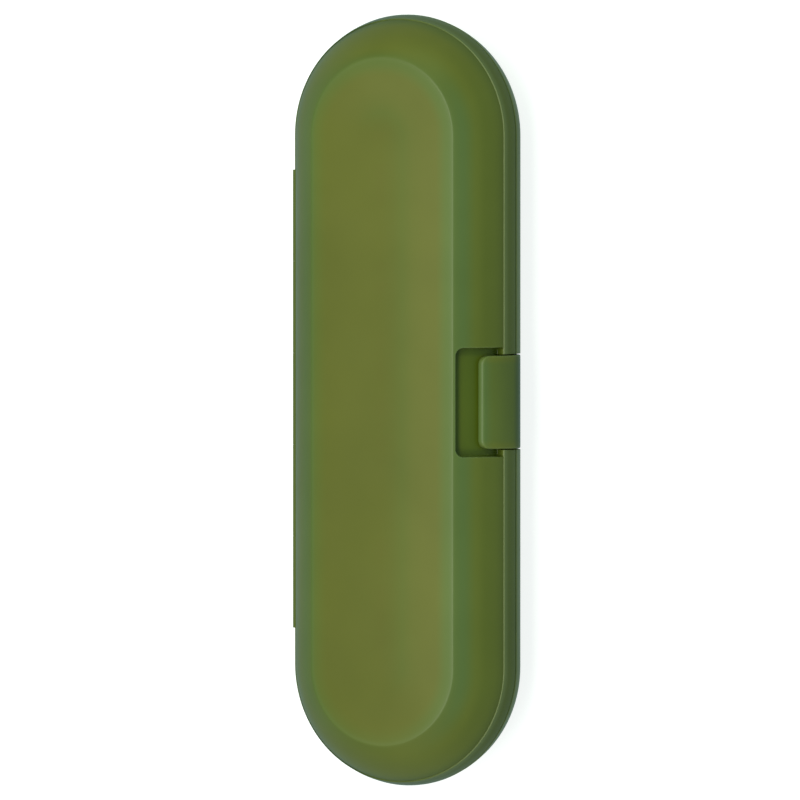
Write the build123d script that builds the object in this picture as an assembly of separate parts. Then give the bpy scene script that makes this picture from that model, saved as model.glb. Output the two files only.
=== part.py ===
from build123d import *
import math
import os

# Electric toothbrush travel case, shut. Millimetres, +Z up, origin at the middle of the base's rest face.
# The case is long in Y, with the latch on the +X side and the hinge on the -X side.
# Each half is drawn seam down, with heights measured from the seam, and then put in its place.

# Outline from above: two half circles joined by straight sides
halfWidth = 37.5
straightLength = 165.0

# Each half from the seam: rim band, curved side, crease, panel
bandHeight = 5.9
bandStep = 0.4
shoulderInset = 13.4
shoulderHeight = 18.4
sideLeanLow = 27.2
sideLeanHigh = 59.2
wall = 1.8
rimChamfer = 0.35
seamGap = 0.3

# Lip round the base's rim, and the groove in the lid that takes it
lipThickness = 0.8
lipHeight = 1.1
lipClearance = 0.25
lipEndGap = 1.0

# Hinge along the straight side
hingeLength = 142.9
hingeRadius = 1.85
hingeStandOff = 0.2
hingePinRadius = 0.8
knuckleCount = 5
knuckleGap = 0.15
pinFit = 0.05

# Latch, by angles on the side's arc
latchLength = 28.9
latchThickness = 2.3
latchProud = 0.25
latchNose = 7.5
latchTopAngle = 43.5
latchCorner = 1.5
latchSideGap = 0.3
pivotAngle = 34.7
pivotRadius = 2.2
latchPinRadius = 0.8
latchPinGrip = 2.0
hookAngle = 23.7
hookTipAngle = 1.2
hookRootAngle = 4.5
hookReach = 0.7
hookGapAngle = 1.0
hookGap = 0.3

# Recess in the lid round the latch's free end
recessDepth = 3.2
recessLength = 33.7
recessTopAngle = 56.2
recessWallAngle = 4.0
recessCorner = 2.5

# Trays for the handle and two spare heads
trayWall = 1.4
trayDrop = 1.6
trayClearance = 0.3
handleX = -14.0
handleRadius = 14.4
handleReach = 98.0
handleRound = 2.0
neckStart = 42.0
neckTaper = 16.0
neckRadius = 9.0
headX = 17.0
headRadius = 7.4
headNear = 21.5
headLength = 34.0
stemRadius = 6.0
headFar = 97.0
padWidth = 12.0
padThickness = 1.0
padBack = -40.0
padFront = 16.0
padGap = 0.1

# Screws that hold the trays, and their posts
postRadius = 2.5
postX = 4.7
postY = 84.0
screwRadius = 1.1
screwLength = 7.0
screwHeadRadius = 2.0
screwHeadHeight = 1.1
screwFit = 0.05
screwHoleGap = 0.2

# Worked out from the sizes above
seam = shoulderHeight
halfStraight = straightLength / 2
creaseRadius = halfWidth - shoulderInset
lowSine = math.sin(math.radians(sideLeanLow))
highSine = math.sin(math.radians(sideLeanHigh))
sideArc = (shoulderHeight - bandHeight) / (highSine - lowSine)
arcX = creaseRadius - sideArc * math.cos(math.radians(sideLeanHigh))
arcZ = shoulderHeight - sideArc * highSine
sideStart = arcX + sideArc * math.cos(math.radians(sideLeanLow))
rim = seamGap / 2
hingeX = -halfWidth - hingeStandOff
knuckleLength = (hingeLength - knuckleGap * (knuckleCount - 1)) / knuckleCount
notchLength = latchLength + 2 * latchSideGap
housingLength = recessLength + 2 * wall
housingDepth = recessDepth + wall
deckTop = trayDrop + trayWall
postPlaces = [(postX, -postY), (postX, 0), (postX, postY)]
far = 2 * (halfWidth + straightLength)


# Point under the curved side, at an angle above level and a depth below the surface
def sidePoint(angle, depth):
    turn = math.radians(angle)
    reach = sideArc - depth
    return (arcX + reach * math.cos(turn), arcZ + reach * math.sin(turn))


def box(x0, x1, y0, y1, z0, z1):
    middle = Pos((x0 + x1) / 2, (y0 + y1) / 2, (z0 + z1) / 2)
    return middle * Box(x1 - x0, y1 - y0, z1 - z0)


# A section in X and Z drawn both ways along Y
def drawn(section, length):
    return extrude(Plane.XZ * section, length / 2, both=True)


def rod(radius, length, x, z, y=0):
    return Pos(x, y, z) * Rot(90, 0, 0) * Cylinder(radius, length)


# A half section turned round both ends and drawn along the straight sides
def stadium(section):
    turned = revolve(Plane.XZ * section, Axis.Z, 360)
    ends = Pos(0, -halfStraight, 0) * turned + Pos(0, halfStraight, 0) * turned
    return ends + drawn(section + mirror(section, Plane.YZ), straightLength)


def stadiumRing(outer, inner, low, high):
    plate = SlotCenterToCenter(straightLength, 2 * outer) - SlotCenterToCenter(straightLength, 2 * inner)
    return extrude(Pos(0, 0, low) * Rot(0, 0, 90) * plate, high - low)


# Outside of a half: flat panel, crease, curved side, the band's step and the rim
def outerSection():
    bandTop = sideStart + bandStep
    crease = (creaseRadius, shoulderHeight)
    with BuildSketch() as sketch:
        with BuildLine():
            Polyline(
                (0, rim),
                (halfWidth - rimChamfer, rim),
                (halfWidth, rim + rimChamfer),
                (bandTop, bandHeight - bandStep / 2),
                (sideStart, bandHeight),
            )
            middle = sidePoint((sideLeanLow + sideLeanHigh) / 2, 0)
            ThreePointArc((sideStart, bandHeight), middle, crease)
            Polyline(crease, (0, shoulderHeight), (0, rim))
        make_face()
    return sketch.sketch


# The inside at a depth under the outside, its curved side cut into straight tapers
def innerSection(depth):
    roof = shoulderHeight - depth
    topAngle = math.degrees(math.asin((roof - arcZ) / (sideArc - depth)))
    side = [sidePoint(angle, depth) for angle in (sideLeanLow, (sideLeanLow + topAngle) / 2, topAngle)]
    edge = halfWidth - depth
    return make_face(Polyline((0, -rim), (edge, -rim), (edge, rim), *side, (0, roof), close=True))


# Region between two depths under both curved sides, through the seam
def sideStrip(low, high):
    def lens(depth):
        disc = Circle(sideArc - depth)
        return (Pos(arcX, arcZ) * disc) & (Pos(arcX, -arcZ) * disc)

    return lens(low) - lens(high)


# Part of the latch side from the seam up to an angle on the side's arc
def sector(angle):
    corners = [(arcX, arcZ), sidePoint(angle, -halfWidth), (arcX + far, shoulderHeight), (arcX + far, arcZ)]
    return make_face(Polyline(*corners, close=True)) & (Pos(0, far / 2) * Rectangle(2 * far, far))


# Room for the latch in the base: the notch, and a pocket that its barrel turns in, open to the outside
def latchRoom(depth, spare):
    mouth = math.degrees((pivotRadius + spare) / sideArc)
    notch = sideStrip(-wall, depth) & sector(pivotAngle)
    notch += sideStrip(-wall, pivotRadius - latchProud) & sector(pivotAngle + mouth)
    return notch + Pos(*sidePoint(pivotAngle, pivotRadius - latchProud)) * Circle(pivotRadius + spare)


def knucklePlaces(first):
    start = -(hingeLength - knuckleLength) / 2
    return [start + k * (knuckleLength + knuckleGap) for k in range(first, knuckleCount, 2)]


# Fuses on a half's own knuckles, clears the other half's and bores the pin's hole
def addKnuckles(half, own, other):
    for y in other:
        half -= rod(hingeRadius + knuckleGap, knuckleLength + 2 * knuckleGap, hingeX, 0, y)
    for y in own:
        half += rod(hingeRadius, knuckleLength, hingeX, 0, y)
    return half - rod(hingePinRadius + pinFit, 2 * hingeLength, hingeX, 0)


# A half as a shell with its posts, and a solid seat for the latch's pocket
def bareShell(seat):
    outside = stadium(outerSection())
    shell = outside - stadium(innerSection(wall))
    low = (Align.CENTER, Align.CENTER, Align.MIN)
    for x, y in postPlaces:
        shell += (Pos(x, y, deckTop) * Cylinder(postRadius, shoulderHeight, align=low)) & outside
    shell += drawn(seat, housingLength) & outside
    for x, y in postPlaces:
        hole = Cylinder(screwRadius + screwFit, screwLength, align=low)
        shell -= Pos(x, y, deckTop) * hole
    return shell


# Straight edges of a cutter drawn along Y whose middle is at a place in X and Z
def edgesAt(solid, place):
    x, z = place
    return [e for e in solid.edges() if math.hypot((e @ 0.5).X - x, (e @ 0.5).Z - z) < 0.01]


def lidShell():
    shell = bareShell(sideStrip(0, housingDepth) & sector(recessTopAngle + recessWallAngle))
    section = sideStrip(-wall, recessDepth) & sector(recessTopAngle)
    recess = drawn(section & (Pos(0, bandHeight + far / 2) * Rectangle(2 * far, far)), recessLength)
    corner = sidePoint(recessTopAngle, (recessDepth - wall) / 2)
    shell -= fillet(edgesAt(recess, corner), recessCorner) + drawn(section, notchLength)
    slotTop = sector(hookAngle + hookRootAngle + hookGapAngle)
    slotDepth = recessDepth + hookReach + hookGap
    slot = sideStrip(latchThickness, slotDepth) & (slotTop - sector(hookAngle - hookGapAngle))
    shell -= drawn(slot, notchLength)
    grooveOuter = halfWidth - wall + lipThickness + lipClearance
    grooveInner = halfWidth - wall - lipClearance
    shell -= stadiumRing(grooveOuter, grooveInner, -rim, lipHeight + lipClearance)
    return addKnuckles(shell, knucklePlaces(1), knucklePlaces(0))


# The base is drawn like the lid and turned over at the seam
def baseShell():
    shell = bareShell(latchRoom(housingDepth, latchSideGap + wall))
    shell -= drawn(latchRoom(recessDepth, latchSideGap), notchLength)
    pivot = sidePoint(pivotAngle, pivotRadius - latchProud)
    shell -= rod(latchPinRadius + pinFit, notchLength + 2 * latchPinGrip, *pivot)
    lip = stadiumRing(halfWidth - wall + lipThickness, halfWidth - wall, -lipHeight + rim, 2 * rim)
    for side, length in ((-far, hingeLength), (far, housingLength)):
        half = length / 2 + lipEndGap
        lip -= box(min(side, 0), max(side, 0), -half, half, -far, far)
    shell = addKnuckles(shell + lip, knucklePlaces(0), knucklePlaces(1))
    return mirror(shell, Plane.XY)


def hingePin():
    return rod(hingePinRadius, hingeLength, hingeX, 0)


def latch():
    strip = sideStrip(-latchProud, latchThickness - latchProud)
    body = (strip & sector(latchTopAngle)) + mirror(strip & sector(pivotAngle), Plane.XZ)
    body = fillet(body.vertices().sort_by_distance((2 * halfWidth, 0, 0))[0], latchNose)
    body += mirror(latchBarrel(), Plane.XZ)
    tip = recessDepth + hookReach
    hook = Polyline(
        sidePoint(hookAngle, latchThickness / 2),
        sidePoint(hookAngle, tip),
        sidePoint(hookAngle + hookTipAngle, tip),
        sidePoint(hookAngle + hookRootAngle, latchThickness / 2),
        close=True,
    )
    solid = drawn(body + make_face(hook), latchLength)
    end = sidePoint(latchTopAngle, latchThickness / 2 - latchProud)
    solid = fillet(edgesAt(solid, end), latchCorner)
    pivot = sidePoint(pivotAngle, pivotRadius - latchProud)
    return solid - rod(latchPinRadius + pinFit, 2 * latchLength, pivot[0], -pivot[1])


def latchBarrel():
    return Pos(*sidePoint(pivotAngle, pivotRadius - latchProud)) * Circle(pivotRadius)


def latchPin():
    length = notchLength + 2 * latchPinGrip - 2 * pinFit
    pivot = sidePoint(pivotAngle, pivotRadius - latchProud)
    return rod(latchPinRadius, length, pivot[0], -pivot[1])


# A round hollow lying in the seam's plane, turned about its own axis through (place, radius) stations
def hollow(x, stations, grow):
    first, last = stations[0], stations[-1]
    ends = [(first[0] - grow, first[1]), (last[0] + grow, last[1])]
    points = [(r + grow, y) for y, r in ends[:1] + stations[1:-1] + ends[1:]]
    outline = make_face(Polyline((0, ends[0][0]), *points, (0, ends[1][0]), close=True))
    return Pos(x, 0, 0) * revolve(outline, Axis.Y, 360)


def handleHollow(grow):
    stations = [
        (-handleReach, handleRadius - handleRound),
        (-handleReach + handleRound, handleRadius),
        (neckStart, handleRadius),
        (neckStart + neckTaper, neckRadius),
        (handleReach, neckRadius),
    ]
    return hollow(handleX, stations, grow)


def headHollows(grow):
    stemStart = headNear + headLength
    stations = [
        (headNear, headRadius),
        (stemStart, headRadius),
        (stemStart + headRadius - stemRadius, stemRadius),
        (headFar, stemRadius),
    ]
    back = hollow(headX, stations, grow)
    return back + mirror(back, Plane.XZ)


def tray():
    room = stadium(innerSection(wall + trayClearance))
    deck = box(-far, far, -far, far, trayDrop, deckTop)
    body = (deck + handleHollow(trayWall) + headHollows(trayWall)) & room
    body -= box(-far, far, -far, far, -far, trayDrop)
    body -= handleHollow(0) + headHollows(0)
    seatX = arcX + math.sqrt((sideArc - housingDepth) ** 2 - (deckTop - arcZ) ** 2)
    clear = housingLength / 2 + trayClearance
    body -= box(seatX - trayClearance, far, -clear, clear, -far, deckTop + trayWall)
    for x, y in postPlaces:
        body -= Pos(x, y, deckTop) * Cylinder(screwRadius + screwHoleGap, 4 * trayWall)
    return body


# Soft rings that line the handle's hollow
def pads():
    outer = handleRadius - padGap
    ring = Rot(90, 0, 0) * (Cylinder(outer, padWidth) - Cylinder(outer - padThickness, padWidth))
    half = ring & box(-far, far, -far, far, trayDrop, far)
    return [Pos(handleX, y, 0) * half for y in (padBack, padFront)]


def screws():
    up = (Align.CENTER, Align.CENTER, Align.MIN)
    down = (Align.CENTER, Align.CENTER, Align.MAX)
    shank = Cylinder(screwRadius, screwLength - trayWall, align=up)
    screw = Pos(0, 0, trayWall) * shank + Cylinder(screwRadius, trayWall, align=up)
    screw += Cylinder(screwHeadRadius, screwHeadHeight, align=down)
    return [Pos(x, y, trayDrop) * screw for x, y in postPlaces]


def write(name, shapes):
    solids = []
    for shape in shapes:
        solids += (Pos(0, 0, seam) * shape).solids()
    export_step(Compound(children=solids) if len(solids) > 1 else solids[0], f"parts/{name}.step")


os.makedirs("parts", exist_ok=True)
trayPart = tray()
write("base_shell", [baseShell()])
write("lid_shell", [lidShell()])
write("hinge_pin", [hingePin()])
write("latch", [latch()])
write("latch_pin", [latchPin()])
write("lid_tray", [trayPart])
write("base_tray", [mirror(trayPart, Plane.XY)])
write("lid_pads", pads())
write("base_pads", [mirror(pad, Plane.XY) for pad in pads()])
write("lid_screws", screws())
write("base_screws", [mirror(screw, Plane.XY) for screw in screws()])
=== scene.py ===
import bpy
import bmesh
import numpy as np
from mathutils import Matrix, Vector


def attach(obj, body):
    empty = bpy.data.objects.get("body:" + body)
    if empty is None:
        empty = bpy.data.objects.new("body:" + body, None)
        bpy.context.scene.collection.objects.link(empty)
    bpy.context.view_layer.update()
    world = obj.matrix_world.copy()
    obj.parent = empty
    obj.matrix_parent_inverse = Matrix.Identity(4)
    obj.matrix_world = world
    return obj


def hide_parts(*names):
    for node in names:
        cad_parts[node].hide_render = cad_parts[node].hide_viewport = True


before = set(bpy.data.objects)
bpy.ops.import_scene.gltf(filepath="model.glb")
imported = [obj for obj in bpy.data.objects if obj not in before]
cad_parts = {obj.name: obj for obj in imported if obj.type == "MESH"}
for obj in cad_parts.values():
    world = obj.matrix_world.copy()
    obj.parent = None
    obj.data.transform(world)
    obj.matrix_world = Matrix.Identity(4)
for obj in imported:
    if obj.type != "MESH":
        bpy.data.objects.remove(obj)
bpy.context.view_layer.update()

mm = 0.001
farOff = 1.0  # a distance well outside every form
mergeWithin = 0.0002 * mm
shortestEdge = 0.00001 * mm

# Both halves of the case, heights measured from the seam
caseShape = {
    "halfWidth": 37.5 * mm,
    "halfStraight": 82.5 * mm,
    "seamHeight": 18.4 * mm,
    "bandHeight": 5.9 * mm,
    "bandStep": 0.4 * mm,
    "bandBulge": 0.12 * mm,
    "bandRound": 0.16 * mm,
    "bulgeRound": 12.0 * mm,
    "grooveTop": (0.03 * mm, 0.05 * mm, 0.1 * mm),  # out, up and rounding
    "grooveFloor": (0.25 * mm, 0.06 * mm, 0.06 * mm),  # in, down and rounding
    "shoulderInset": 13.4 * mm,
    "leanLow": 27.2,
    "leanHigh": 59.2,
    "crown": 0.18 * mm,
    "crownShares": (0.2, 0.8),
    "creaseRound": 1.3 * mm,
    "creaseStart": 86,
    "rimRound": 0.4 * mm,
    "rimGap": 0.15 * mm,
    "wall": 1.8 * mm,
    "lipThickness": 0.8 * mm,
    "lipHeight": 1.1 * mm,
    "lipClearance": 0.25 * mm,
    "lipEndGap": 1.0 * mm,
    "lipEase": 0.3 * mm,
    "lipBevel": 0.2 * mm,
    "grooveBevel": 0.1 * mm,
}

# Where the half section's rows lie: shares of the way out over panel and roof, counts, and places down the
# side in degrees, or for the recess's top in metres
rowShape = {
    "panel": (0, 0.15, 0.3, 0.45, 0.6, 0.7, 0.78, 0.84, 0.89, 0.93, 0.96, 0.98, 0.993),
    "roof": (0.97, 0.85, 0.6, 0.3, 0),
    "rim": (0.1, 0.9),
    "crease": 8,
    "inside": 14,
    "shortOfCrease": 0.25,
    "shortOfBand": 0.9,
    "denseBand": (0.42, 0.53, 9),  # where the catch slot's lower wall crosses the band's floor
    "recessTop": (-0.5 * mm, 2.9 * mm, 0.11 * mm),
    "recessFloor": (50, 30, 17),
    "slotTop": (-0.35, 0.36, 0.1),
    "slotFoot": (26.9, 28.6, 0.22),
    "lidHousing": (62, 57),
    "aboveMouth": (55, 2, 12),
    "mouth": (-1.2, 1.2, 13),
    "belowMouth": (1.5, 27, 14),
    "baseHousing": (5, 2),
}

# Where the columns round the outline lie
columnShape = {
    "edgeStep": 0.1 * mm,
    "beforeNotch": 0.5 * mm,
    "pastRecess": 0.55 * mm,
    "pastEdge": 0.8 * mm,
    "atBarrelEnd": 0.35 * mm,
    "atLipEnd": (-0.1 * mm, 0.4 * mm, 4),
    "openFrom": 20 * mm,
    "open": 17,
    "underLatch": 9,
    "backing": 6,
    "barrelEnd": 6,
    "roundEnd": 65,
    "closest": 0.04 * mm,
}

# The recess and notch that take the latch
recessShape = {
    "depth": 3.2 * mm,
    "halfLength": 16.85 * mm,
    "topAngle": 56.7,
    "corner": 2.5 * mm,
    "lowCorner": 0.9 * mm,
    "halfNotch": 14.75 * mm,
    "edge": 0.55 * mm,
    "notchEdge": 0.34 * mm,
    "pastSide": 0.25 * mm,
    "pocketGap": 0.3 * mm,
    "backing": 1.8 * mm,
    "backingEase": 1.0 * mm,
    "slotAngles": (22.7, 29.2),
    "slotDepth": 1.0 * mm,
    "slotEdge": 0.16 * mm,
    # colour factor on the recess floor: a painted shade tint
    "tone": (0.93, 1.03, 0.5),
}

latchShape = {
    "halfLength": 14.45 * mm,
    "thickness": 2.3 * mm,
    "proud": 0.25 * mm,
    "nose": 7.5 * mm,
    "topAngle": 42.1,
    "topLead": 3,
    "noseLead": 0.5,
    "corner": 2.7 * mm,
    "cornerAngle": 7,
    "edge": 0.7 * mm,
    "noseEdge": 0.15 * mm,
    "hiddenEdge": 0.1 * mm,
    "outerRound": 1.5 * mm,
    "innerRound": 0.4 * mm,
    "pivotAngle": 34.7,
    "barrel": 2.2 * mm,
    "barrelLead": 14,
    "outsideSteps": (34, 15, 16, 30),  # down the outside, round the nose, under it and round the barrel
    "insideSteps": (12, 9, 20),
    "roundSteps": (8, 9),  # at the bar's ends and at its free end
    "innerLead": 4.6,
    "hookAngle": 23.7,
    "hookTipAngle": 1.2,
    "hookRootAngle": 4.5,
    "hookLead": 1.5,
    "pastHook": 2,
    "hookReach": 0.7 * mm,
    "hookRounds": (0.15 * mm, 0.12 * mm, 0.2 * mm, 0.4 * mm),
    "endColumns": (1.0 * mm, 1.35 * mm, 1.8 * mm, 2.25 * mm),
    "pastCorner": 0.1 * mm,
    "openColumns": (3.2 * mm, 13),
    # wear and painted highlights at the bar's ends and free end, painted shade towards the nose, a painted
    # paler highlight on the top, and warmer ends
    "endWearAndHighlight": (0, 0.5 * mm, 0.5),
    "tipWearAndHighlight": (0, 1.0, 0.3),
    "paintedShade": ((0.4, 11 * mm, 1 * mm), (0.45, 2.5 * mm, 0)),
    "topTint": ((0.9, 1.05, 1.75), 9, 1),
    "endTint": ((1.18, 1.05, 0.8), 3 * mm, 1 * mm),
}

hingeShape = {
    "length": 142.9 * mm,
    "radius": 1.845 * mm,
    "standOff": 0.2 * mm,
    "bore": 0.85 * mm,
    "knuckles": 5,
    "gap": 0.06 * mm,
    "edge": 0.08 * mm,
    "boreEdge": 0.1 * mm,
    "endRows": 1.0 * mm,
    "roomEase": 0.1 * mm,
    "columns": 40,
}

# Values that follow from the shapes above
seamZ = caseShape["seamHeight"]
lowSine, highSine = np.sin(np.radians([caseShape["leanLow"], caseShape["leanHigh"]]))
sideArc = (seamZ - caseShape["bandHeight"]) / (highSine - lowSine)
creaseRadius = caseShape["halfWidth"] - caseShape["shoulderInset"]
arcX = creaseRadius - sideArc * np.cos(np.radians(caseShape["leanHigh"]))
arcZ = seamZ - sideArc * highSine
hingeX = -caseShape["halfWidth"] - hingeShape["standOff"]


def smooth(low, high, value):
    # eased step from 0 at low to 1 at high: three times the square less twice the cube of the way between
    t = np.clip((value - low) / (high - low), 0, 1)
    return t * t * (3 - 2 * t)


def sidePoints(angles, depth):
    # points on a circle about the side arc's centre, a depth inside its radius
    turn = np.radians(np.asarray(angles, float))
    reach = sideArc - depth
    return np.stack([arcX + reach * np.cos(turn), arcZ + reach * np.sin(turn)], axis=1)


def sidePoint(angle, depth):
    # one such point
    return sidePoints([angle], depth)[0]


def bell(value, place, width, strength=1):
    # a strength at a place, falling as e to the minus square of the distance over a width
    return strength * np.exp(-(((value - place) / width) ** 2))


def arcPoints(centre, radius, start, stop, count):
    # points on a circle arc between two angles in degrees
    turn = np.radians(np.linspace(start, stop, count))
    return np.stack([centre[0] + radius * np.cos(turn), centre[1] + radius * np.sin(turn)], axis=1)


def roundedLine(corners, steps=5):
    # a run of straight lines whose corners (x, z, radius) are turned into tangent arcs
    points = [np.array([corners[0][:2]])]
    for before, here, after in zip(corners, corners[1:], corners[2:]):
        place = np.array(here[:2])
        back, on = np.array(before[:2]) - place, np.array(after[:2]) - place
        back, on = back / np.linalg.norm(back), on / np.linalg.norm(on)
        half = np.arccos(np.clip(back @ on, -1, 1)) / 2
        reach = here[2] / np.tan(half)
        middle = place + (back + on) / np.linalg.norm(back + on) * here[2] / np.sin(half)
        t = np.linspace(0, 1, steps)[:, None]
        chord = (place + back * reach) * (1 - t) + (place + on * reach) * t - middle
        points.append(middle + chord / np.linalg.norm(chord, axis=1)[:, None] * here[2])
    points.append(np.array([corners[-1][:2]]))
    return np.concatenate(points)


def lineLength(points):
    # running length along a line of points
    steps = np.linalg.norm(np.diff(points, axis=0), axis=1)
    return np.concatenate([[0], np.cumsum(steps)])


def gridFaces(rows, columns, ends):
    # quads of a grid that closes round its columns; its first and last rows are left, joined or capped
    i, j = np.meshgrid(np.arange(rows if ends == "joined" else rows - 1), np.arange(columns), indexing="ij")
    nextI, nextJ = (i + 1) % rows, (j + 1) % columns
    corners = [(i, j), (i, nextJ), (nextI, nextJ), (nextI, j)]
    faces = np.stack([row * columns + column for row, column in corners], axis=-1).reshape(-1, 4).tolist()
    if ends == "capped":
        faces += [list(range(columns)), list(range((rows - 1) * columns, rows * columns))]
    return faces


def meshPiece(name, grid, ends, body, slot, node, attributes=()):
    # makes a closed piece from a grid of points, merges seams and poles and points its faces out
    mesh = bpy.data.meshes.new(name)
    mesh.from_pydata(grid.reshape(-1, 3).tolist(), [], gridFaces(*grid.shape[:2], ends))
    for label, values in attributes:
        kind, field = ("FLOAT_VECTOR", "vector") if values.ndim == 3 else ("FLOAT", "value")
        layer = mesh.attributes.new(label, kind, "POINT")
        layer.data.foreach_set(field, np.ascontiguousarray(values.ravel(), np.float32))
    piece = bpy.data.objects.new(name, mesh)
    bpy.context.collection.objects.link(piece)
    work = bmesh.new()
    work.from_mesh(mesh)
    bmesh.ops.remove_doubles(work, verts=work.verts, dist=mergeWithin)
    bmesh.ops.dissolve_degenerate(work, edges=work.edges, dist=shortestEdge)
    bmesh.ops.recalc_face_normals(work, faces=work.faces)
    if work.calc_volume(signed=True) < 0:
        bmesh.ops.reverse_faces(work, faces=work.faces)
    work.to_mesh(mesh)
    work.free()
    mesh.shade_smooth()
    mesh.materials.append(finishes[slot])
    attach(piece, body)
    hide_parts(node)
    print(name, len(mesh.polygons), "faces")


def ringOutline(half, outer, inner, outerRound, innerRound):
    # closed outline of (along, radius) pairs with rounded corners, from the middle of its outer side
    corners = [(0, outer, 0), (half, outer, outerRound), (half, inner, innerRound)]
    corners += [(-along, radius, curl) for along, radius, curl in corners[::-1]]
    return roundedLine(corners)[:-1]


def newMaterial(name):
    # a material, its node tree and its shader's sockets
    material = bpy.data.materials.new(name)
    material.use_nodes = True
    tree = material.node_tree
    return material, tree, tree.nodes["Principled BSDF"].inputs


def addNode(tree, kind, place, **values):
    # a shader node; each value is another node's output, a number or colour for a socket, or a setting
    node = tree.nodes.new("ShaderNode" + kind)
    node.location = place
    for key, value in values.items():
        if isinstance(value, bpy.types.NodeSocket):
            tree.links.new(value, node.inputs[key])
        elif key in node.inputs:
            node.inputs[key].default_value = value
        else:
            setattr(node, key, value)
    return node


def addTones(tree, place, look, noise):
    # a ramp between a look's deep and pale tones
    ramp = addNode(tree, "ValToRGB", place, Fac=noise)
    for stop, position, tone in zip(ramp.color_ramp.elements, look["rampEnds"], ("deep", "pale")):
        stop.position = position
        stop.color = (*look[tone], 1)
    return ramp.outputs["Color"]


def addBump(tree, place, look, noise, shader):
    # a bump of the look's strength and depth on the shader
    bump = addNode(tree, "Bump", place, Strength=look["bump"], Distance=look["bumpDepth"], Height=noise)
    tree.links.new(bump.outputs["Normal"], shader["Normal"])


def mouldedPlastic(name, look):
    # satin plastic under a fine grain: a slow drift of two tones times one plus the tint attribute, which
    # holds painted light and shade as colour factors; darker by the low attribute, which is painted shade,
    # and paler by the wear attribute, which is wear and painted highlights
    material, tree, shader = newMaterial(name)
    link = tree.links.new
    coords = addNode(tree, "TexCoord", (-1400, 0)).outputs["Object"]
    noises = []
    kinds = (("drift", 250, 3, 0.55), ("grain", 0, 2, 0.6), ("smear", -250, 4, 0.5))
    for label, height, detail, roughness in kinds:
        noise = {"Vector": coords, "Scale": look[label + "Scale"], "Detail": detail, "Roughness": roughness}
        noises.append(addNode(tree, "TexNoise", (-1150, height), **noise).outputs["Fac"])
    drift, grain, smears = noises
    tones = addTones(tree, (-900, 250), look, drift)
    # the tint attribute: painted light and shade as colour factors
    tintAndPaintedLight = addNode(tree, "Attribute", (-900, 1050), attribute_name="tintAndPaintedLight").outputs["Vector"]
    tinted = addNode(tree, "VectorMath", (-650, 1050), operation="MULTIPLY_ADD")
    for output, socket in zip((tones, tintAndPaintedLight, tones), tinted.inputs):
        link(output, socket)
    colour = tinted.outputs["Vector"]
    # painted shade: the low attribute darkens the colour towards the shade tone
    if look["paintedShadeTone"]:
        low = addNode(tree, "Attribute", (-900, 800), attribute_name="low").outputs["Fac"]
        mix = {"data_type": "RGBA", "blend_type": "MULTIPLY"}
        mixed = {"Factor": low, "A": colour, "B": (*look["paintedShadeTone"], 1)}
        colour = addNode(tree, "Mix", (-650, 400), **mix, **mixed).outputs["Result"]
    # wear and painted highlights: the wear attribute pales the colour
    if look["edges"]:
        wearAndHighlight = addNode(tree, "Attribute", (-900, 550), attribute_name="wearAndHighlight").outputs["Fac"]
        amount = addNode(tree, "Math", (-650, 550), operation="MULTIPLY")
        amount.inputs[1].default_value = look["edges"]
        link(wearAndHighlight, amount.inputs[0])
        mixed = {"Factor": amount.outputs[0], "A": colour, "B": (*look["wearAndHighlightColour"], 1)}
        colour = addNode(tree, "Mix", (-400, 350), data_type="RGBA", **mixed).outputs["Result"]
    link(colour, shader["Base Color"])
    low, high = look["roughness"]
    gloss = addNode(tree, "MapRange", (-650, -250), **{"Value": smears, "To Min": low, "To Max": high})
    link(gloss.outputs["Result"], shader["Roughness"])
    addBump(tree, (-400, -50), look, grain, shader)
    shader["Specular IOR Level"].default_value = look["specular"]
    return material


shellLook = {
    "deep": (0.072, 0.093, 0.0115),
    "pale": (0.084, 0.106, 0.0145),
    # pale colour of wear and painted highlights
    "wearAndHighlightColour": (0.12, 0.16, 0.06),
    "edges": 0.5,
    # colour factor of painted shade
    "paintedShadeTone": (0.42, 0.52, 0.56),
    "rampEnds": (0.32, 0.7),
    "driftScale": 22.0,
    "grainScale": 2600.0,
    "smearScale": 60.0,
    "roughness": (0.32, 0.42),
    "specular": 0.22,
    "bump": 0.25,
    "bumpDepth": 0.03 * mm,
}
latchLook = {
    **shellLook,
    "deep": (0.071, 0.099, 0.014),
    "pale": (0.082, 0.112, 0.017),
    "driftScale": 35.0,
}
plainLook = {**shellLook, "edges": 0, "paintedShadeTone": None}
trayLook = {
    **plainLook,
    "deep": (0.082, 0.105, 0.02),
    "pale": (0.096, 0.121, 0.026),
    "roughness": (0.45, 0.55),
    "bump": 0.4,
}
padLook = {
    **plainLook,
    "deep": (0.030, 0.032, 0.026),
    "pale": (0.040, 0.043, 0.034),
    "roughness": (0.65, 0.75),
    "bump": 0.5,
}


def drawnSteel(name, look):
    # bright steel: noise drawn out across the turning lines sets the tone and a faint bump
    material, tree, shader = newMaterial(name)
    coords = addNode(tree, "TexCoord", (-1100, 0)).outputs["Object"]
    drawn = addNode(tree, "Mapping", (-900, 0), Scale=look["stretch"], Vector=coords).outputs["Vector"]
    lines = addNode(tree, "TexNoise", (-700, 0), Scale=look["scale"], Detail=3, Vector=drawn).outputs["Fac"]
    tree.links.new(addTones(tree, (-450, 150), look, lines), shader["Base Color"])
    addBump(tree, (-450, -200), look, lines, shader)
    shader["Metallic"].default_value = 1
    shader["Roughness"].default_value = look["roughness"]
    return material


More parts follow.
